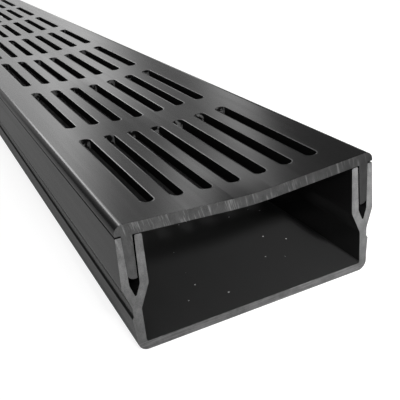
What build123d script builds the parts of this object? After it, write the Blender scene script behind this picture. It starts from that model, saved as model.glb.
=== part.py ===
from build123d import *
import os

os.makedirs("parts", exist_ok=True)

# Overall sizes, in millimetres. X runs across the drain, Y along it, and Z up
length = 1000.0
cover_width = 130.0
height = 63.5
half_width = cover_width / 2

# Cover: a plate dished towards its middle, with a rounded outer edge on each side
dish_depth = 3.9
dish_radius = 150.0
plate_thickness = 5.3
outer_edge_radius = 3.8
outer_edge_land = 4.0
rim_depth = 4.8
rim_corner_radius = 0.4

# Cover tongues, which reach down into the grooves of the channel
tongue_depth = 26.2
tongue_root_thickness = 4.9
tongue_tip_thickness = 4.1
tongue_outer_tip_radius = 2.8
tongue_inner_tip_radius = 0.5
tongue_root_radius = 0.4

# Slots through the cover, in rows along the drain
slot_width = 6.2
slot_length = 100.0
slot_columns = 7
slot_column_pitch = 14.3
slot_rows = 8
slot_row_pitch = length / slot_rows
slot_row_shift = 3.5

# Clearances between the cover and the channel. The tongues bear on the outer side of their grooves
rim_gap = 0.75
inner_arm_gap = 0.35
tongue_outer_clearance = 0.0

# Channel: floor and lower side walls
wall_thickness = 4.2
wall_inset = 2.6
floor_thickness = 4.2
bottom_corner_radius = 5.0
floor_corner_radius = 1.2
waist_outer_height = 23.4
waist_inner_height = 22.0
waist_radius = 3.0

# Small ledge along each outer wall. The wall fades back to its plain face below it
ledge_height = 17.7
ledge_width = 0.8
ledge_rise = 1.2
ledge_foot_height = 8.0
ledge_tip_radius = 0.3
ledge_root_radius = 0.2
ledge_foot_radius = 10.0

# Outer arm of each fork
outer_arm_top_inset = 0.05
outer_arm_bulge = 0.7
outer_arm_bulge_depth = 29.9
outer_arm_bulge_radius = 7.0
arm_corner_radius = 0.4

# Groove between the two arms of each fork
groove_outer_inset = 2.7
groove_taper = 0.25
groove_shoulder_depth = 28.9
groove_shoulder_radius = 2.0
groove_bottom_inset = 5.0
groove_bottom_depth = 35.6
groove_bottom_radius = 0.5
groove_inner_inset = 7.6
groove_inner_depth = 29.1
groove_inner_radius = 3.0

# Inner arm of each fork, which ends just under the cover's plate
inner_arm_outer_inset = 8.4
inner_arm_thickness = 3.3
inner_arm_lean = 0.1
inner_arm_bulge_depth = 29.9
inner_arm_bulge_radius = 4.0
inner_arm_top_radius = 0.8

# Matching distance when corners are picked by their position
pick_tolerance = 0.01


# Heights of the dished cover's two faces at a distance from the middle
def cover_top(across):
    return height - dish_depth * (1 - across / (half_width - outer_edge_land))


def cover_underside(across):
    return cover_top(across) - plate_thickness


# Both mirrored corners of a section at a distance from the middle and a height
def corners(section, across, up):
    return [
        corner
        for corner in section.vertices()
        if abs(abs(corner.X) - across) < pick_tolerance and abs(corner.Y - up) < pick_tolerance
    ]


# Channel section: floor, walls, and on each side a fork of two arms
wall_outer = half_width - wall_inset
wall_inner = wall_outer - wall_thickness
rim_underside = height - rim_depth
outer_arm_top = rim_underside - rim_gap
outer_arm_face = half_width - outer_arm_top_inset
groove_outer = half_width - groove_outer_inset
groove_inner = half_width - inner_arm_outer_inset
inner_arm_face = groove_inner - inner_arm_thickness

channel_points = [
    (0, 0),
    (wall_outer, 0),
    (wall_outer, ledge_foot_height),
    (wall_outer + ledge_width, ledge_height),
    (wall_outer, ledge_height + ledge_rise),
    (wall_outer, waist_outer_height),
    (half_width + outer_arm_bulge, height - outer_arm_bulge_depth),
    (outer_arm_face, outer_arm_top),
    (groove_outer, outer_arm_top),
    (groove_outer - groove_taper, height - groove_shoulder_depth),
    (half_width - groove_bottom_inset, height - groove_bottom_depth),
    (half_width - groove_inner_inset, height - groove_inner_depth),
    (groove_inner, cover_underside(groove_inner) - inner_arm_gap),
    (inner_arm_face, cover_underside(inner_arm_face) - inner_arm_gap),
    (inner_arm_face + inner_arm_lean, height - inner_arm_bulge_depth),
    (wall_inner, waist_inner_height),
    (wall_inner, floor_thickness),
    (0, floor_thickness),
]
channel_radii = [
    bottom_corner_radius,
    ledge_foot_radius,
    ledge_tip_radius,
    ledge_root_radius,
    waist_radius,
    outer_arm_bulge_radius,
    arm_corner_radius,
    arm_corner_radius,
    groove_shoulder_radius,
    groove_bottom_radius,
    groove_inner_radius,
    inner_arm_top_radius,
    inner_arm_top_radius,
    inner_arm_bulge_radius,
    waist_radius,
    floor_corner_radius,
]

with BuildPart() as channel:
    with BuildSketch(Plane.XZ.offset(length / 2)) as channel_section:
        with BuildLine():
            Polyline(*channel_points)
            mirror(about=Plane.YZ)
        make_face()
        for (across, up), radius in zip(channel_points[1:-1], channel_radii):
            fillet(corners(channel_section, across, up), radius=radius)
    extrude(amount=-length)

# Cover section: the dished plate, its rims, and a tongue under each side
tongue_outer = groove_outer - tongue_outer_clearance
tongue_inner = tongue_outer - tongue_root_thickness
tongue_tip = height - tongue_depth
tongue_outer_tip = tongue_outer - groove_taper
tongue_inner_tip = tongue_outer_tip - tongue_tip_thickness

cover_points = [
    (0, cover_top(0)),
    (half_width - outer_edge_land, height),
    (half_width, height),
    (half_width, rim_underside),
    (tongue_outer, rim_underside),
    (tongue_outer_tip, tongue_tip),
    (tongue_inner_tip, tongue_tip),
    (tongue_inner, cover_underside(tongue_inner)),
    (0, cover_underside(0)),
]

with BuildPart() as cover:
    with BuildSketch(Plane.XZ.offset(length / 2)) as cover_section:
        with BuildLine():
            Polyline(*cover_points)
            mirror(about=Plane.YZ)
        make_face()
        fillet(corners(cover_section, half_width, height), radius=outer_edge_radius)
        fillet(corners(cover_section, half_width, rim_underside), radius=rim_corner_radius)
        fillet(corners(cover_section, tongue_outer_tip, tongue_tip), radius=tongue_outer_tip_radius)
        fillet(corners(cover_section, tongue_inner_tip, tongue_tip), radius=tongue_inner_tip_radius)
        fillet(corners(cover_section, tongue_inner, cover_underside(tongue_inner)), radius=tongue_root_radius)
        fillet(corners(cover_section, 0, cover_top(0)), radius=dish_radius)
        fillet(corners(cover_section, 0, cover_underside(0)), radius=dish_radius)
    extrude(amount=-length)
    with BuildSketch(Plane.XY.offset(height)) as slot_layout:
        with Locations((0, slot_row_shift)):
            with GridLocations(slot_column_pitch, slot_row_pitch, slot_columns, slot_rows):
                SlotOverall(slot_length, slot_width, rotation=90)
    extrude(amount=-height, mode=Mode.SUBTRACT)

channel.part.label = "channel"
export_step(channel.part, "parts/channel.step")

cover.part.label = "cover"
export_step(cover.part, "parts/cover.step")
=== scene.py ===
"""A black PVC channel drain with its slotted cover, on pale paper in soft studio light."""

import math

import bmesh
import bpy
from mathutils import Matrix, Vector

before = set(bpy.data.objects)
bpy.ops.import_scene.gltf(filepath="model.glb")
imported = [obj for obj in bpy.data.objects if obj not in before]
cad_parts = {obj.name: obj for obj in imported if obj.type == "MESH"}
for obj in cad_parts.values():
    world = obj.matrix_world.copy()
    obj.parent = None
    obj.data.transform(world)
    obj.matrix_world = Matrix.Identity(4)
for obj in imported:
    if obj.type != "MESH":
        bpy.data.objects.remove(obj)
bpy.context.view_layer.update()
scene = bpy.context.scene
scene.view_settings.view_transform = "Standard"


# The channel is a gutter of black rigid PVC, extruded in one piece with the forks on its walls
# and sawn to length at both ends. It stands on the ground and carries the cover in its forks.
MM = 0.001
HALF_LENGTH = 500 * MM
HALF_WIDTH = 65 * MM
FLOOR_TOP = 4.2 * MM
WALL_INSIDE = 58.3 * MM
WALL_OUTSIDE = 62 * MM


def srgb(text):
    """A colour written as sRGB hex, as the linear values that Blender takes."""
    values = [int(text[i : i + 2], 16) / 255 for i in (1, 3, 5)]
    return [v / 12.92 if v <= 0.04045 else ((v + 0.055) / 1.055) ** 2.4 for v in values] + [1.0]


def node(tree, kind, inputs=None, stops=(), **settings):
    """Adds a shader node with its settings, and fills or links its inputs by name or number.

    A node given as an input stands for its first output. Stops are a colour ramp's places
    and grey levels. A Mix node takes its share at 0, numbers at 2 and 3 and colours at 6 and
    7, and gives a mixed colour at its output 2.
    """
    made = tree.nodes.new(kind)
    for name, value in settings.items():
        setattr(made, name, value)
    for index, (place, level) in enumerate(stops):
        band = made.color_ramp.elements
        stop = band[index] if index < 2 else band.new(place)
        stop.position = place
        stop.color = [level, level, level, 1.0]
    for name, value in (inputs or {}).items():
        if isinstance(value, bpy.types.Node):
            value = value.outputs[0]
        if isinstance(value, bpy.types.NodeSocket):
            tree.links.new(value, made.inputs[name])
        else:
            made.inputs[name].default_value = value
    return made


def new_tree(owner):
    """The emptied shader tree of a material or of the world."""
    owner.use_nodes = True
    owner.node_tree.nodes.clear()
    return owner.node_tree


# Rigid PVC as the die leaves it is glossy, with faint lines and a streaky, cloudy sheen along
# its length, where each pattern is squeezed and so drawn out. Real die lines lie a few tenths
# of a millimetre apart and are drawn coarser, so that they show.
DIE_LINE = 1.1 * MM
DIE_LINE_SQUEEZE = (1, 0.004, 1)
DIE_LINE_HEIGHT = 0.01 * MM
STREAK = 4 * MM
STREAK_SQUEEZE = (1, 0.03, 1)
STREAK_SHARE = 0.6
CLOUD = 70 * MM
CLOUD_SQUEEZE = (1, 0.5, 1)
SMOOTHEST_SKIN = 0.17
ROUGHEST_SKIN = 0.24
SKIN_GLOSS = 0.5


def die_lines(tree, where):
    """The height of the extruded skin, and its roughness."""
    lines = node(tree, "ShaderNodeMapping", {"Vector": where, "Scale": DIE_LINE_SQUEEZE})
    lines = node(
        tree, "ShaderNodeTexNoise", {"Vector": lines, "Scale": 1 / DIE_LINE, "Detail": 3.0}
    )
    height = node(tree, "ShaderNodeMath", {0: lines, 1: DIE_LINE_HEIGHT}, operation="MULTIPLY")

    streaks = node(tree, "ShaderNodeMapping", {"Vector": where, "Scale": STREAK_SQUEEZE})
    streaks = node(
        tree, "ShaderNodeTexNoise", {"Vector": streaks, "Scale": 1 / STREAK, "Detail": 3.0}
    )
    clouds = node(tree, "ShaderNodeMapping", {"Vector": where, "Scale": CLOUD_SQUEEZE})
    clouds = node(
        tree, "ShaderNodeTexNoise", {"Vector": clouds, "Scale": 1 / CLOUD, "Detail": 3.0}
    )
    sheen = node(tree, "ShaderNodeMix", {0: STREAK_SHARE, 2: clouds, 3: streaks})

    # Noise mostly lies between 0.35 and 0.65
    rough = node(
        tree,
        "ShaderNodeMapRange",
        {
            "Value": sheen,
            "From Min": 0.35,
            "From Max": 0.65,
            "To Min": SMOOTHEST_SKIN,
            "To Max": ROUGHEST_SKIN,
        },
    )
    return height, rough


# Where the saw went through it, the same PVC is paler and matt, mottled and finely torn.
# Painted shade makes the sawn faces darker towards their foot and their right. Bright scratches
# lean on the cover's plate and run along the channel's floor. Real torn specks are finer, and
# drawn coarser so that they show.
END_TOLERANCE = 0.01 * MM
MOTTLE = 3 * MM
MOTTLE_SQUEEZE = (1, 1, 0.6)
TORN_SPECK = 0.45 * MM
SPECK_SHARE = 0.45
TORN_HEIGHT = 0.05 * MM
SCRATCH = 0.9 * MM
SCRATCH_SQUEEZE = (1, 1, 0.09)
SCRATCH_LEAN = 0.22  # radians
SCRATCHED_ABOVE = 53 * MM
FLOOR_SCRATCH = 1.25 * MM
FLOOR_SCRATCH_SQUEEZE = (0.06, 1, 2)
FLOOR_SCRATCH_CONTRAST = 2.2
FLOOR_SCRATCH_SHIFT = -0.58
SCRATCH_SHARE = 0.45
BRIGHT_SCRATCH = srgb("#a6a6a6")
# Painted shade: the sawn faces darken towards their foot, below this height
PAINTED_SHADE_FOOT_TOP = 38 * MM
PAINTED_SHADE_FOOT_SHARE = 0.55
SAWN_ROUGHNESS = 0.62
SOFT_CORNER = 0.35 * MM


def sawn_pvc(tree, where, skin, skin_rough, gloss, skin_height, dull, pale, painted_shade_right_share):
    """Finishes a material: the given skin all round, and sawn faces at both ends of the length.

    The sawn faces are mottled between the two colours, and carry painted shade: they keep the
    given share of their brightness at the right wall, and darken towards their foot.
    """
    axes = node(tree, "ShaderNodeSeparateXYZ", {0: where})
    across, along, up = (axes.outputs[name] for name in "XYZ")
    from_middle = node(tree, "ShaderNodeMath", {0: along}, operation="ABSOLUTE")
    sawn_from = HALF_LENGTH - END_TOLERANCE
    sawn = node(tree, "ShaderNodeMath", {0: from_middle, 1: sawn_from}, operation="GREATER_THAN")

    mottle = node(tree, "ShaderNodeMapping", {"Vector": where, "Scale": MOTTLE_SQUEEZE})
    mottle = node(
        tree,
        "ShaderNodeTexNoise",
        {"Vector": mottle, "Scale": 1 / MOTTLE, "Detail": 3.0, "Roughness": 0.6},
    )
    specks = node(
        tree, "ShaderNodeTexNoise", {"Vector": where, "Scale": 1 / TORN_SPECK, "Roughness": 0.6}
    )
    torn = node(tree, "ShaderNodeMix", {0: SPECK_SHARE, 2: mottle, 3: specks})
    torn_height = node(tree, "ShaderNodeMath", {0: torn, 1: TORN_HEIGHT}, operation="MULTIPLY")

    leaning = node(
        tree,
        "ShaderNodeVectorRotate",
        {"Vector": where, "Angle": SCRATCH_LEAN},
        rotation_type="Y_AXIS",
    )
    leaning = node(tree, "ShaderNodeMapping", {"Vector": leaning, "Scale": SCRATCH_SQUEEZE})
    leaning = node(tree, "ShaderNodeTexNoise", {"Vector": leaning, "Scale": 1 / SCRATCH})
    on_plate = node(tree, "ShaderNodeMath", {0: up, 1: SCRATCHED_ABOVE}, operation="GREATER_THAN")
    leaning = node(tree, "ShaderNodeMath", {0: leaning, 1: on_plate}, operation="MULTIPLY")
    level = node(tree, "ShaderNodeMapping", {"Vector": where, "Scale": FLOOR_SCRATCH_SQUEEZE})
    level = node(tree, "ShaderNodeTexNoise", {"Vector": level, "Scale": 1 / FLOOR_SCRATCH})
    level = node(
        tree,
        "ShaderNodeMath",
        {0: level, 1: FLOOR_SCRATCH_CONTRAST, 2: FLOOR_SCRATCH_SHIFT},
        operation="MULTIPLY_ADD",
    )
    on_floor = node(tree, "ShaderNodeMath", {0: up, 1: FLOOR_TOP}, operation="LESS_THAN")
    scratches = node(tree, "ShaderNodeMix", {0: on_floor, 2: leaning, 3: level})

    paleness = node(tree, "ShaderNodeMapRange", {"Value": torn, "From Min": 0.4, "From Max": 0.62})
    cut = node(tree, "ShaderNodeMix", {0: paleness, 6: dull, 7: pale}, data_type="RGBA")
    scratched = node(
        tree,
        "ShaderNodeMapRange",
        {"Value": scratches, "From Min": 0.55, "From Max": 0.7, "To Max": SCRATCH_SHARE},
    )
    cut = node(
        tree,
        "ShaderNodeMix",
        {0: scratched, 6: cut.outputs[2], 7: BRIGHT_SCRATCH},
        data_type="RGBA",
    )
    # Painted shade: the sawn faces darken towards the right wall and towards their foot
    painted_shade_to_right = node(
        tree,
        "ShaderNodeMapRange",
        {
            "Value": across,
            "From Min": -HALF_WIDTH,
            "From Max": HALF_WIDTH,
            "To Min": 1.0,
            "To Max": painted_shade_right_share,
        },
    )
    painted_shade_to_foot = node(
        tree, "ShaderNodeMapRange", {"Value": up, "From Max": PAINTED_SHADE_FOOT_TOP, "To Min": PAINTED_SHADE_FOOT_SHARE}
    )
    light = node(tree, "ShaderNodeMath", {0: painted_shade_to_right, 1: painted_shade_to_foot}, operation="MULTIPLY")
    cut = node(
        tree,
        "ShaderNodeMix",
        {0: 1.0, 6: cut.outputs[2], 7: light},
        data_type="RGBA",
        blend_type="MULTIPLY",
    )

    colour = node(tree, "ShaderNodeMix", {0: sawn, 6: skin, 7: cut.outputs[2]}, data_type="RGBA")
    rough = node(tree, "ShaderNodeMix", {0: sawn, 2: skin_rough, 3: SAWN_ROUGHNESS})
    height = node(tree, "ShaderNodeMix", {0: sawn, 2: skin_height, 3: torn_height})
    corners = node(tree, "ShaderNodeBevel", {"Radius": SOFT_CORNER}, samples=4)
    bump = node(
        tree,
        "ShaderNodeBump",
        {"Height": height, "Distance": 1.0, "Strength": 1.0, "Normal": corners},
    )
    surface = node(
        tree,
        "ShaderNodeBsdfPrincipled",
        {
            "Base Color": colour.outputs[2],
            "Roughness": rough,
            "IOR": 1.5,
            "Specular IOR Level": gloss,
            "Normal": bump,
        },
    )
    node(tree, "ShaderNodeOutputMaterial", {"Surface": surface})


# Dust lies on the channel's floor: a thin matt film that dulls the skin, and loose pale grains,
# drawn up to a millimetre across so that they show. A fine dark line of painted shade lies in
# the crease on the ledge along each outer wall.
CHANNEL_BLACK = srgb("#1a1a1a")
CHANNEL_CUT_DULL = srgb("#626262")
CHANNEL_CUT_PALE = srgb("#808080")
# Painted shade: the share of the channel's sawn-face brightness kept at the right wall
CHANNEL_PAINTED_SHADE_RIGHT_SHARE = 0.72
DUST_MIDDLE = FLOOR_TOP + 0.55 * MM
DUST_REACH = 0.65 * MM
DUST_FILM = srgb("#252525")
DUST_ROUGHNESS = 0.65
DUST_GLOSS = 0.2
GRAIN_SPACING = 4.8 * MM
GRAIN_RADIUS = 0.48 * MM
MISSING_GRAINS = 0.4
DUST_GRAIN = srgb("#b0b0b0")
LEDGE_SHADE_MIDDLE = 18.4 * MM
LEDGE_SHADE_REACH = 0.5 * MM
LEDGE_PAINTED_SHADE = srgb("#0c0c0c")
LEDGE_SHADE_ROUGHNESS = 0.7
LEDGE_SHADE_GLOSS = 0.1

channel_material = bpy.data.materials.new("extruded_pvc_channel")
tree = new_tree(channel_material)
where = node(tree, "ShaderNodeTexCoord").outputs["Object"]
height, rough = die_lines(tree, where)
axes = node(tree, "ShaderNodeSeparateXYZ", {0: where})
up = axes.outputs["Z"]
from_centre = node(tree, "ShaderNodeMath", {0: axes.outputs["X"]}, operation="ABSOLUTE")

low_down = node(
    tree, "ShaderNodeMath", {0: up, 1: DUST_MIDDLE, 2: DUST_REACH}, operation="COMPARE"
)
inside = node(tree, "ShaderNodeMath", {0: from_centre, 1: WALL_INSIDE}, operation="LESS_THAN")
dusty = node(tree, "ShaderNodeMath", {0: low_down, 1: inside}, operation="MULTIPLY")
grains = node(tree, "ShaderNodeTexVoronoi", {"Vector": where, "Scale": 1 / GRAIN_SPACING})
chance = node(tree, "ShaderNodeSeparateColor", {0: grains.outputs["Color"]})
radius = node(
    tree,
    "ShaderNodeMath",
    {0: chance.outputs[0], 1: GRAIN_RADIUS / GRAIN_SPACING},
    operation="MULTIPLY",
)
grain = node(
    tree, "ShaderNodeMath", {0: grains.outputs["Distance"], 1: radius}, operation="LESS_THAN"
)
fallen = node(
    tree, "ShaderNodeMath", {0: chance.outputs[1], 1: MISSING_GRAINS}, operation="GREATER_THAN"
)
grain = node(tree, "ShaderNodeMath", {0: grain, 1: fallen}, operation="MULTIPLY")
dust = node(tree, "ShaderNodeMix", {0: grain, 6: DUST_FILM, 7: DUST_GRAIN}, data_type="RGBA")
skin = node(
    tree, "ShaderNodeMix", {0: dusty, 6: CHANNEL_BLACK, 7: dust.outputs[2]}, data_type="RGBA"
)
rough = node(tree, "ShaderNodeMix", {0: dusty, 2: rough, 3: DUST_ROUGHNESS})
gloss = node(tree, "ShaderNodeMix", {0: dusty, 2: SKIN_GLOSS, 3: DUST_GLOSS})

# Painted shade: a dark line in the crease on the ledge along each outer wall
on_ledge = node(
    tree, "ShaderNodeMath", {0: up, 1: LEDGE_SHADE_MIDDLE, 2: LEDGE_SHADE_REACH}, operation="COMPARE"
)
outside = node(tree, "ShaderNodeMath", {0: from_centre, 1: WALL_OUTSIDE}, operation="GREATER_THAN")
ledge_shade = node(tree, "ShaderNodeMath", {0: on_ledge, 1: outside}, operation="MULTIPLY")
skin = node(tree, "ShaderNodeMix", {0: ledge_shade, 6: skin.outputs[2], 7: LEDGE_PAINTED_SHADE}, data_type="RGBA")
rough = node(tree, "ShaderNodeMix", {0: ledge_shade, 2: rough, 3: LEDGE_SHADE_ROUGHNESS})
gloss = node(tree, "ShaderNodeMix", {0: ledge_shade, 2: gloss, 3: LEDGE_SHADE_GLOSS})
sawn_pvc(
    tree,
    where,
    skin.outputs[2],
    rough,
    gloss,
    height,
    CHANNEL_CUT_DULL,
    CHANNEL_CUT_PALE,
    CHANNEL_PAINTED_SHADE_RIGHT_SHARE,
)
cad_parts["channel"].material_slots[0].material = channel_material


# The cover is a second extrusion of the same PVC, dished towards its middle, with a tongue
# under each side that drops into the channel's forks. Its slots are punched through it in
# eight rows of seven, which leaves their walls matt, their edges rounded and their ends torn.
# Their walls are painted darker as shade inside the slots, and the pale patches at their ends
# are partly torn PVC and partly a painted highlight where the end walls catch the light.
COVER_BLACK = srgb("#141414")
COVER_CUT_DULL = srgb("#424242")
COVER_CUT_PALE = srgb("#585858")
# Painted shade: the share of the cover's sawn-face brightness kept at the right wall
COVER_PAINTED_SHADE_RIGHT_SHARE = 0.22
SLOT_WIDTH = 6.2 * MM
SLOT_LENGTH = 100 * MM
COLUMN_PITCH = 14.3 * MM
OUTERMOST_COLUMN = 3 * COLUMN_PITCH
ROW_PITCH = 125 * MM
ROW_SHIFT = 3.5 * MM
ROUND_END_FROM = (ROW_PITCH - SLOT_LENGTH + SLOT_WIDTH) / 2
SLOT_TOLERANCE = 0.02 * MM
PUNCHED_EDGE = 0.6 * MM
PUNCHED_EDGE_DROP = 0.16 * MM
PUNCHED_WALL_PAINTED_SHADE = srgb("#090909")
PUNCHED_ROUGHNESS = 0.6
PUNCHED_GLOSS = 0.1
TORN_END_FROM = 1.2 * MM
TORN_PATCH = 3.4 * MM
TORN_END_AND_PAINTED_HIGHLIGHT = srgb("#5a5a5a")

cover_material = bpy.data.materials.new("extruded_pvc_cover")
tree = new_tree(cover_material)
where = node(tree, "ShaderNodeTexCoord").outputs["Object"]
height, rough = die_lines(tree, where)

# Across and along from the nearest slot's middle line, and so the distance from its outline
axes = node(tree, "ShaderNodeSeparateXYZ", {0: where})
column = node(
    tree, "ShaderNodeMath", {0: axes.outputs["X"], 1: COLUMN_PITCH / 2}, operation="ADD"
)
column = node(tree, "ShaderNodeMath", {0: column, 1: COLUMN_PITCH}, operation="SNAP")
column = node(
    tree,
    "ShaderNodeClamp",
    {"Value": column, "Min": -OUTERMOST_COLUMN, "Max": OUTERMOST_COLUMN},
)
across = node(tree, "ShaderNodeMath", {0: axes.outputs["X"], 1: column}, operation="SUBTRACT")
row = node(tree, "ShaderNodeMath", {0: axes.outputs["Y"], 1: ROW_SHIFT}, operation="SUBTRACT")
from_bar = node(tree, "ShaderNodeMath", {0: row, 1: ROW_PITCH / 2}, operation="PINGPONG")
past_end = node(tree, "ShaderNodeMath", {0: ROUND_END_FROM, 1: from_bar}, operation="SUBTRACT")
past_end = node(tree, "ShaderNodeMath", {0: past_end, 1: 0.0}, operation="MAXIMUM")
offset = node(tree, "ShaderNodeCombineXYZ", {0: across, 1: past_end})
distance = node(tree, "ShaderNodeVectorMath", {0: offset}, operation="LENGTH").outputs["Value"]
outside = node(tree, "ShaderNodeMath", {0: distance, 1: SLOT_WIDTH / 2}, operation="SUBTRACT")

wall = node(tree, "ShaderNodeMath", {0: outside, 1: SLOT_TOLERANCE}, operation="LESS_THAN")
at_end = node(tree, "ShaderNodeMath", {0: past_end, 1: TORN_END_FROM}, operation="GREATER_THAN")
patches = node(tree, "ShaderNodeTexNoise", {"Vector": where, "Scale": 1 / TORN_PATCH})
patches = node(
    tree, "ShaderNodeMapRange", {"Value": patches, "From Min": 0.5, "From Max": 0.58}
)
torn = node(tree, "ShaderNodeMath", {0: at_end, 1: patches}, operation="MULTIPLY")
# Painted shade darkens the slot walls. The pale patches at their ends are partly torn PVC and
# partly a painted highlight on the lit end walls
punched = node(tree, "ShaderNodeMix", {0: torn, 6: PUNCHED_WALL_PAINTED_SHADE, 7: TORN_END_AND_PAINTED_HIGHLIGHT}, data_type="RGBA")
skin = node(
    tree, "ShaderNodeMix", {0: wall, 6: COVER_BLACK, 7: punched.outputs[2]}, data_type="RGBA"
)
rough = node(tree, "ShaderNodeMix", {0: wall, 2: rough, 3: PUNCHED_ROUGHNESS})
gloss = node(tree, "ShaderNodeMix", {0: wall, 2: SKIN_GLOSS, 3: PUNCHED_GLOSS})
edge = node(
    tree,
    "ShaderNodeMapRange",
    {"Value": outside, "From Min": 0.0, "From Max": PUNCHED_EDGE, "To Max": PUNCHED_EDGE_DROP},
)
height = node(tree, "ShaderNodeMath", {0: height, 1: edge}, operation="ADD")
sawn_pvc(
    tree,
    where,
    skin.outputs[2],
    rough,
    gloss,
    height,
    COVER_CUT_DULL,
    COVER_CUT_PALE,
    COVER_PAINTED_SHADE_RIGHT_SHARE,
)
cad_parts["cover"].material_slots[0].material = cover_material


# The ground under the drain is a wide sheet of pale paper, which keeps the drain's shadow. It
# glows to white where the camera sees it. The drain's glossy skin mirrors it as it is lit.
PAPER_HALF_WIDTH = 30.0
PAPER_DROP = 0.05 * MM
PAPER_GLOW = 0.07
PAPER_WHITENING = 0.76


def seen_directly(tree):
    """1 for rays that come from the camera or through something clear, and 0 for others."""
    path = node(tree, "ShaderNodeLightPath")
    rays = {0: path.outputs["Is Camera Ray"], 1: path.outputs["Is Transmission Ray"]}
    return node(tree, "ShaderNodeMath", rays, operation="ADD", use_clamp=True)


shape = bmesh.new()
bmesh.ops.create_grid(shape, x_segments=1, y_segments=1, size=PAPER_HALF_WIDTH)
bmesh.ops.translate(shape, verts=shape.verts, vec=(0, 0, -PAPER_DROP))
paper_mesh = bpy.data.meshes.new("paper")
shape.to_mesh(paper_mesh)
shape.free()
paper = bpy.data.objects.new("paper", paper_mesh)
scene.collection.objects.link(paper)

paper_material = bpy.data.materials.new("uncoated_white_paper")
tree = new_tree(paper_material)
strength = node(
    tree,
    "ShaderNodeMath",
    {0: seen_directly(tree), 1: PAPER_WHITENING, 2: PAPER_GLOW},
    operation="MULTIPLY_ADD",
)
glow = node(tree, "ShaderNodeEmission", {"Color": srgb("#ffffff"), "Strength": strength})
matt = node(tree, "ShaderNodeBsdfDiffuse", {"Color": srgb("#909090")})
lit = node(tree, "ShaderNodeAddShader", {0: matt, 1: glow})
node(tree, "ShaderNodeOutputMaterial", {"Surface": lit})
paper_mesh.materials.append(paper_material)


# The studio is what the drain's glossy skin mirrors: grey walls, dark screens on both sides of
# the far end and low down between them, bright panels, and a tall one that the rounded edges
# of the slots pick up. Seen directly it is as white as the paper.
SCREEN = 0.03
TALL_PANEL = 4.5

# Brightness by compass direction in degrees, where 0 looks along +Y and 90 along +X
WALLS = (
    (-180, 0.6),
    (-60, 0.7),
    (-45, 0.6),
    (-37, SCREEN),
    (-24, SCREEN),
    (-10, 0.45),
    (2, 0.35),
    (5, 0.5),
    (11, 1.0),
    (14, 1.9),
    (18, 0.36),
    (22.5, 0.34),
    (24.5, 1.5),
    (26.5, 1.4),
    (28, 0.05),
    (50, 0.05),
    (75, 0.7),
    (180, 0.6),
)
PANEL_SIDES = ((-4, 0.0), (-1, 1.0), (6, 1.0), (9, 0.0))
LOW_SCREEN_SIDES = ((10.5, 0.0), (15, 1.0), (24, 1.0), (28, 0.0))

# Places up the sky, where 0 is the horizon and 1 is straight up
PANEL_ENDS = ((0.29, 0.0), (0.35, 1.0), (0.72, 1.0), (0.8, 0.0))
LOW_SCREEN_FADES = 0.2
LOW_SCREEN_TOP = 0.34
LOW_SCREEN_SHARE = 0.5


def around_the_room(levels):
    """A ramp's stops for levels that are given by compass direction."""
    return [(degrees / 360 + 0.5, level) for degrees, level in levels]


world = bpy.data.worlds.new("studio")
scene.world = world
tree = new_tree(world)
direction = node(tree, "ShaderNodeTexCoord").outputs["Generated"]
axes = node(tree, "ShaderNodeSeparateXYZ", {0: direction})
up = axes.outputs["Z"]
turned = node(
    tree, "ShaderNodeMath", {0: axes.outputs["X"], 1: axes.outputs["Y"]}, operation="ARCTAN2"
)
around = node(
    tree, "ShaderNodeMath", {0: turned, 1: 1 / math.tau, 2: 0.5}, operation="MULTIPLY_ADD"
)
walls = node(tree, "ShaderNodeValToRGB", {"Fac": around}, stops=around_the_room(WALLS))

panel_across = node(
    tree, "ShaderNodeValToRGB", {"Fac": around}, stops=around_the_room(PANEL_SIDES)
)
panel_up = node(tree, "ShaderNodeValToRGB", {"Fac": up}, stops=PANEL_ENDS)
panel = node(tree, "ShaderNodeMath", {0: panel_across, 1: panel_up}, operation="MULTIPLY")
mirrored = node(
    tree, "ShaderNodeMix", {0: panel, 6: walls, 7: [TALL_PANEL] * 3 + [1.0]}, data_type="RGBA"
)

screen_across = node(
    tree, "ShaderNodeValToRGB", {"Fac": around}, stops=around_the_room(LOW_SCREEN_SIDES)
)
screen_up = node(
    tree,
    "ShaderNodeMapRange",
    {
        "Value": up,
        "From Min": LOW_SCREEN_FADES,
        "From Max": LOW_SCREEN_TOP,
        "To Min": LOW_SCREEN_SHARE,
        "To Max": 0.0,
    },
)
screen = node(tree, "ShaderNodeMath", {0: screen_across, 1: screen_up}, operation="MULTIPLY")
mirrored = node(
    tree,
    "ShaderNodeMix",
    {0: screen, 6: mirrored.outputs[2], 7: [SCREEN] * 3 + [1.0]},
    data_type="RGBA",
)

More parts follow.
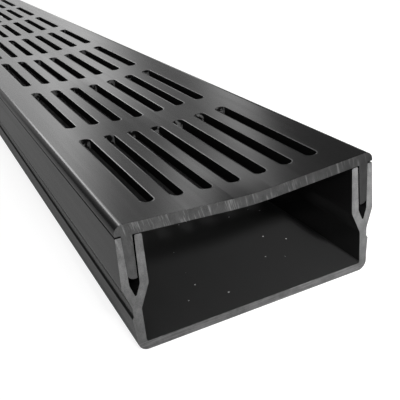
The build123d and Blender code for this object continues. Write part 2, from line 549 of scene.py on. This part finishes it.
shade = node(
    tree,
    "ShaderNodeMix",
    {0: seen_directly(tree), 6: mirrored.outputs[2], 7: srgb("#ffffff")},
    data_type="RGBA",
)
studio = node(tree, "ShaderNodeBackground", {"Color": shade.outputs[2], "Strength": 1.0})
node(tree, "ShaderNodeOutputWorld", {"Surface": studio})


# Two lamps stand in front of the near end and above it: a soft box for the whole end, and a
# spot on its lower right. They light the sawn faces and the channel's floor, and are kept out
# of what the glossy skin mirrors.
LAMP_PLACE = Vector((0.02, -1.65, 0.98))
SOFT_BOX_AIM = Vector((0.0, -0.5, 0.04))
SPOT_AIM = Vector((0.11, -0.5, 0.015))

soft_box = bpy.data.lights.new("soft_box", "AREA")
soft_box.shape = "RECTANGLE"
soft_box.size = 0.3
soft_box.size_y = 0.25
soft_box.energy = 8.8
spot = bpy.data.lights.new("spot", "SPOT")
spot.spot_size = math.radians(10)
spot.spot_blend = 1.0
spot.shadow_soft_size = 0.12
spot.energy = 285.0
for lamp, aim in ((soft_box, SOFT_BOX_AIM), (spot, SPOT_AIM)):
    stand = bpy.data.objects.new(lamp.name, lamp)
    stand.location = LAMP_PLACE
    stand.rotation_euler = (aim - LAMP_PLACE).to_track_quat("-Z", "Y").to_euler()
    stand.visible_glossy = False
    scene.collection.objects.link(stand)


# The camera stands close to the near end, on its left, and looks down along the drain. Its
# place, turn and lens were worked out from the corners and slots that the photograph shows.
CAMERA_PLACE = (-0.1221, -0.72333, 0.17875)
CAMERA_RIGHT = Vector((0.895857, -0.43431, -0.093888))
CAMERA_DOWN = Vector((-0.262944, -0.347834, -0.899929))
CAMERA_FORWARD = Vector((0.358191, 0.830895, -0.425809))

camera = bpy.data.objects.new("camera", bpy.data.cameras.new("camera"))
turn = Matrix((CAMERA_RIGHT, -CAMERA_DOWN, -CAMERA_FORWARD)).transposed()
camera.matrix_world = Matrix.Translation(CAMERA_PLACE) @ turn.to_4x4()
camera.data.sensor_width = 36.0
camera.data.lens = 57.47
camera.data.clip_start = 0.01
camera.data.clip_end = 200.0
scene.collection.objects.link(camera)
scene.camera = camera
